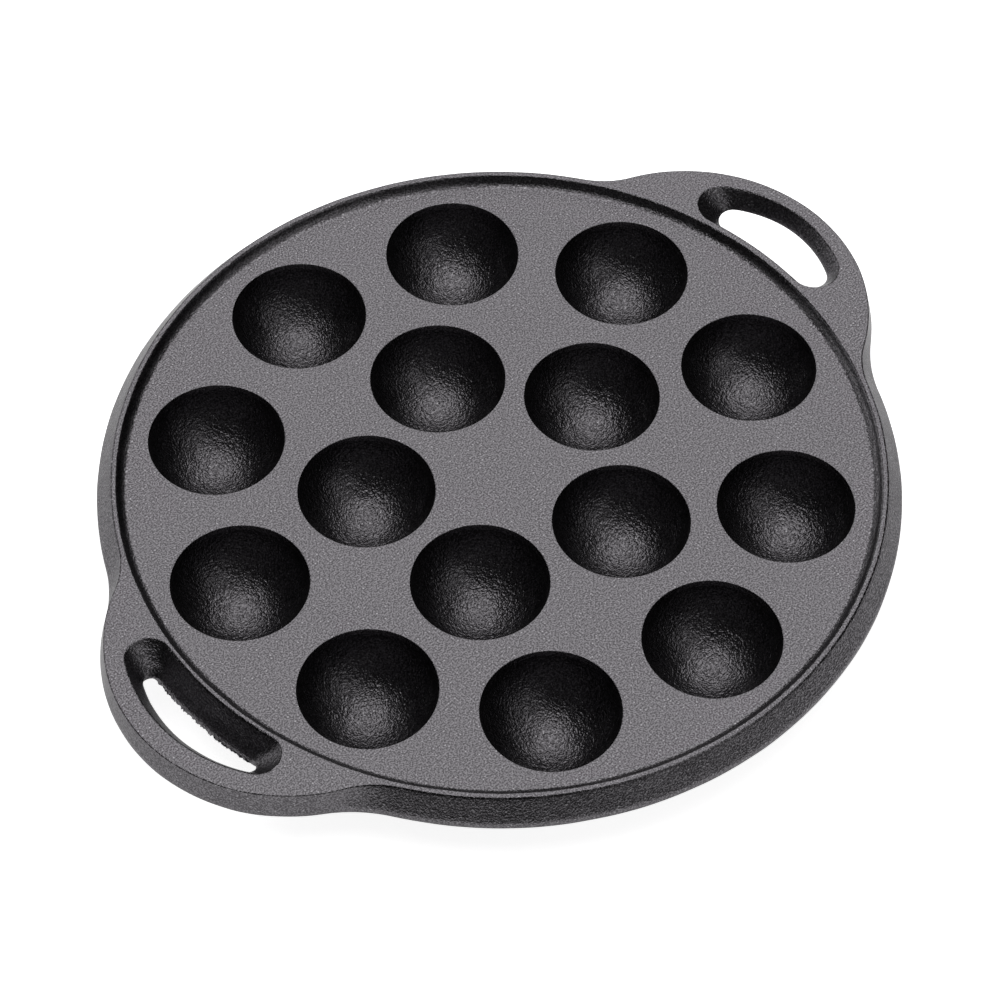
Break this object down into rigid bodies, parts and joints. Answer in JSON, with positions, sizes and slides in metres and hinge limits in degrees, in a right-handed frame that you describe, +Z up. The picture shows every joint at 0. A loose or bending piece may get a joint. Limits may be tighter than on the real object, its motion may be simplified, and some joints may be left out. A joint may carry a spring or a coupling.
{
  "type": "takoyaki pan",
  "caption": "Round cast-iron stove-top pan with half-ball cups sunk in a flat plate, a raised lip, a flared outer wall and a loop handle on each side.",
  "frame": {"origin": "centre of the pan in plan, on the surface it stands on (the plane of the cups' flat feet)", "axes": "+Z up, +X towards the right handle, so the two handles lie along X"},
  "size_m": [0.2766, 0.2358, 0.026],
  "materials": {
    "iron": "sand-cast, oil-seasoned, matt dark grey"
  },
  "bodies": {
    "root": {"plate_centre": "iron", "rim": "iron", "handle_right": "iron", "handle_left": "iron", "cup_inner_01": "iron", "cup_inner_02": "iron", "cup_inner_03": "iron", "cup_inner_04": "iron", "cup_inner_05": "iron", "cup_outer_01": "iron", "cup_outer_02": "iron", "cup_outer_03": "iron", "cup_outer_04": "iron", "cup_outer_05": "iron", "cup_outer_06": "iron", "cup_outer_07": "iron", "cup_outer_08": "iron", "cup_outer_09": "iron", "cup_outer_10": "iron"}
  },
  "joints": []
}
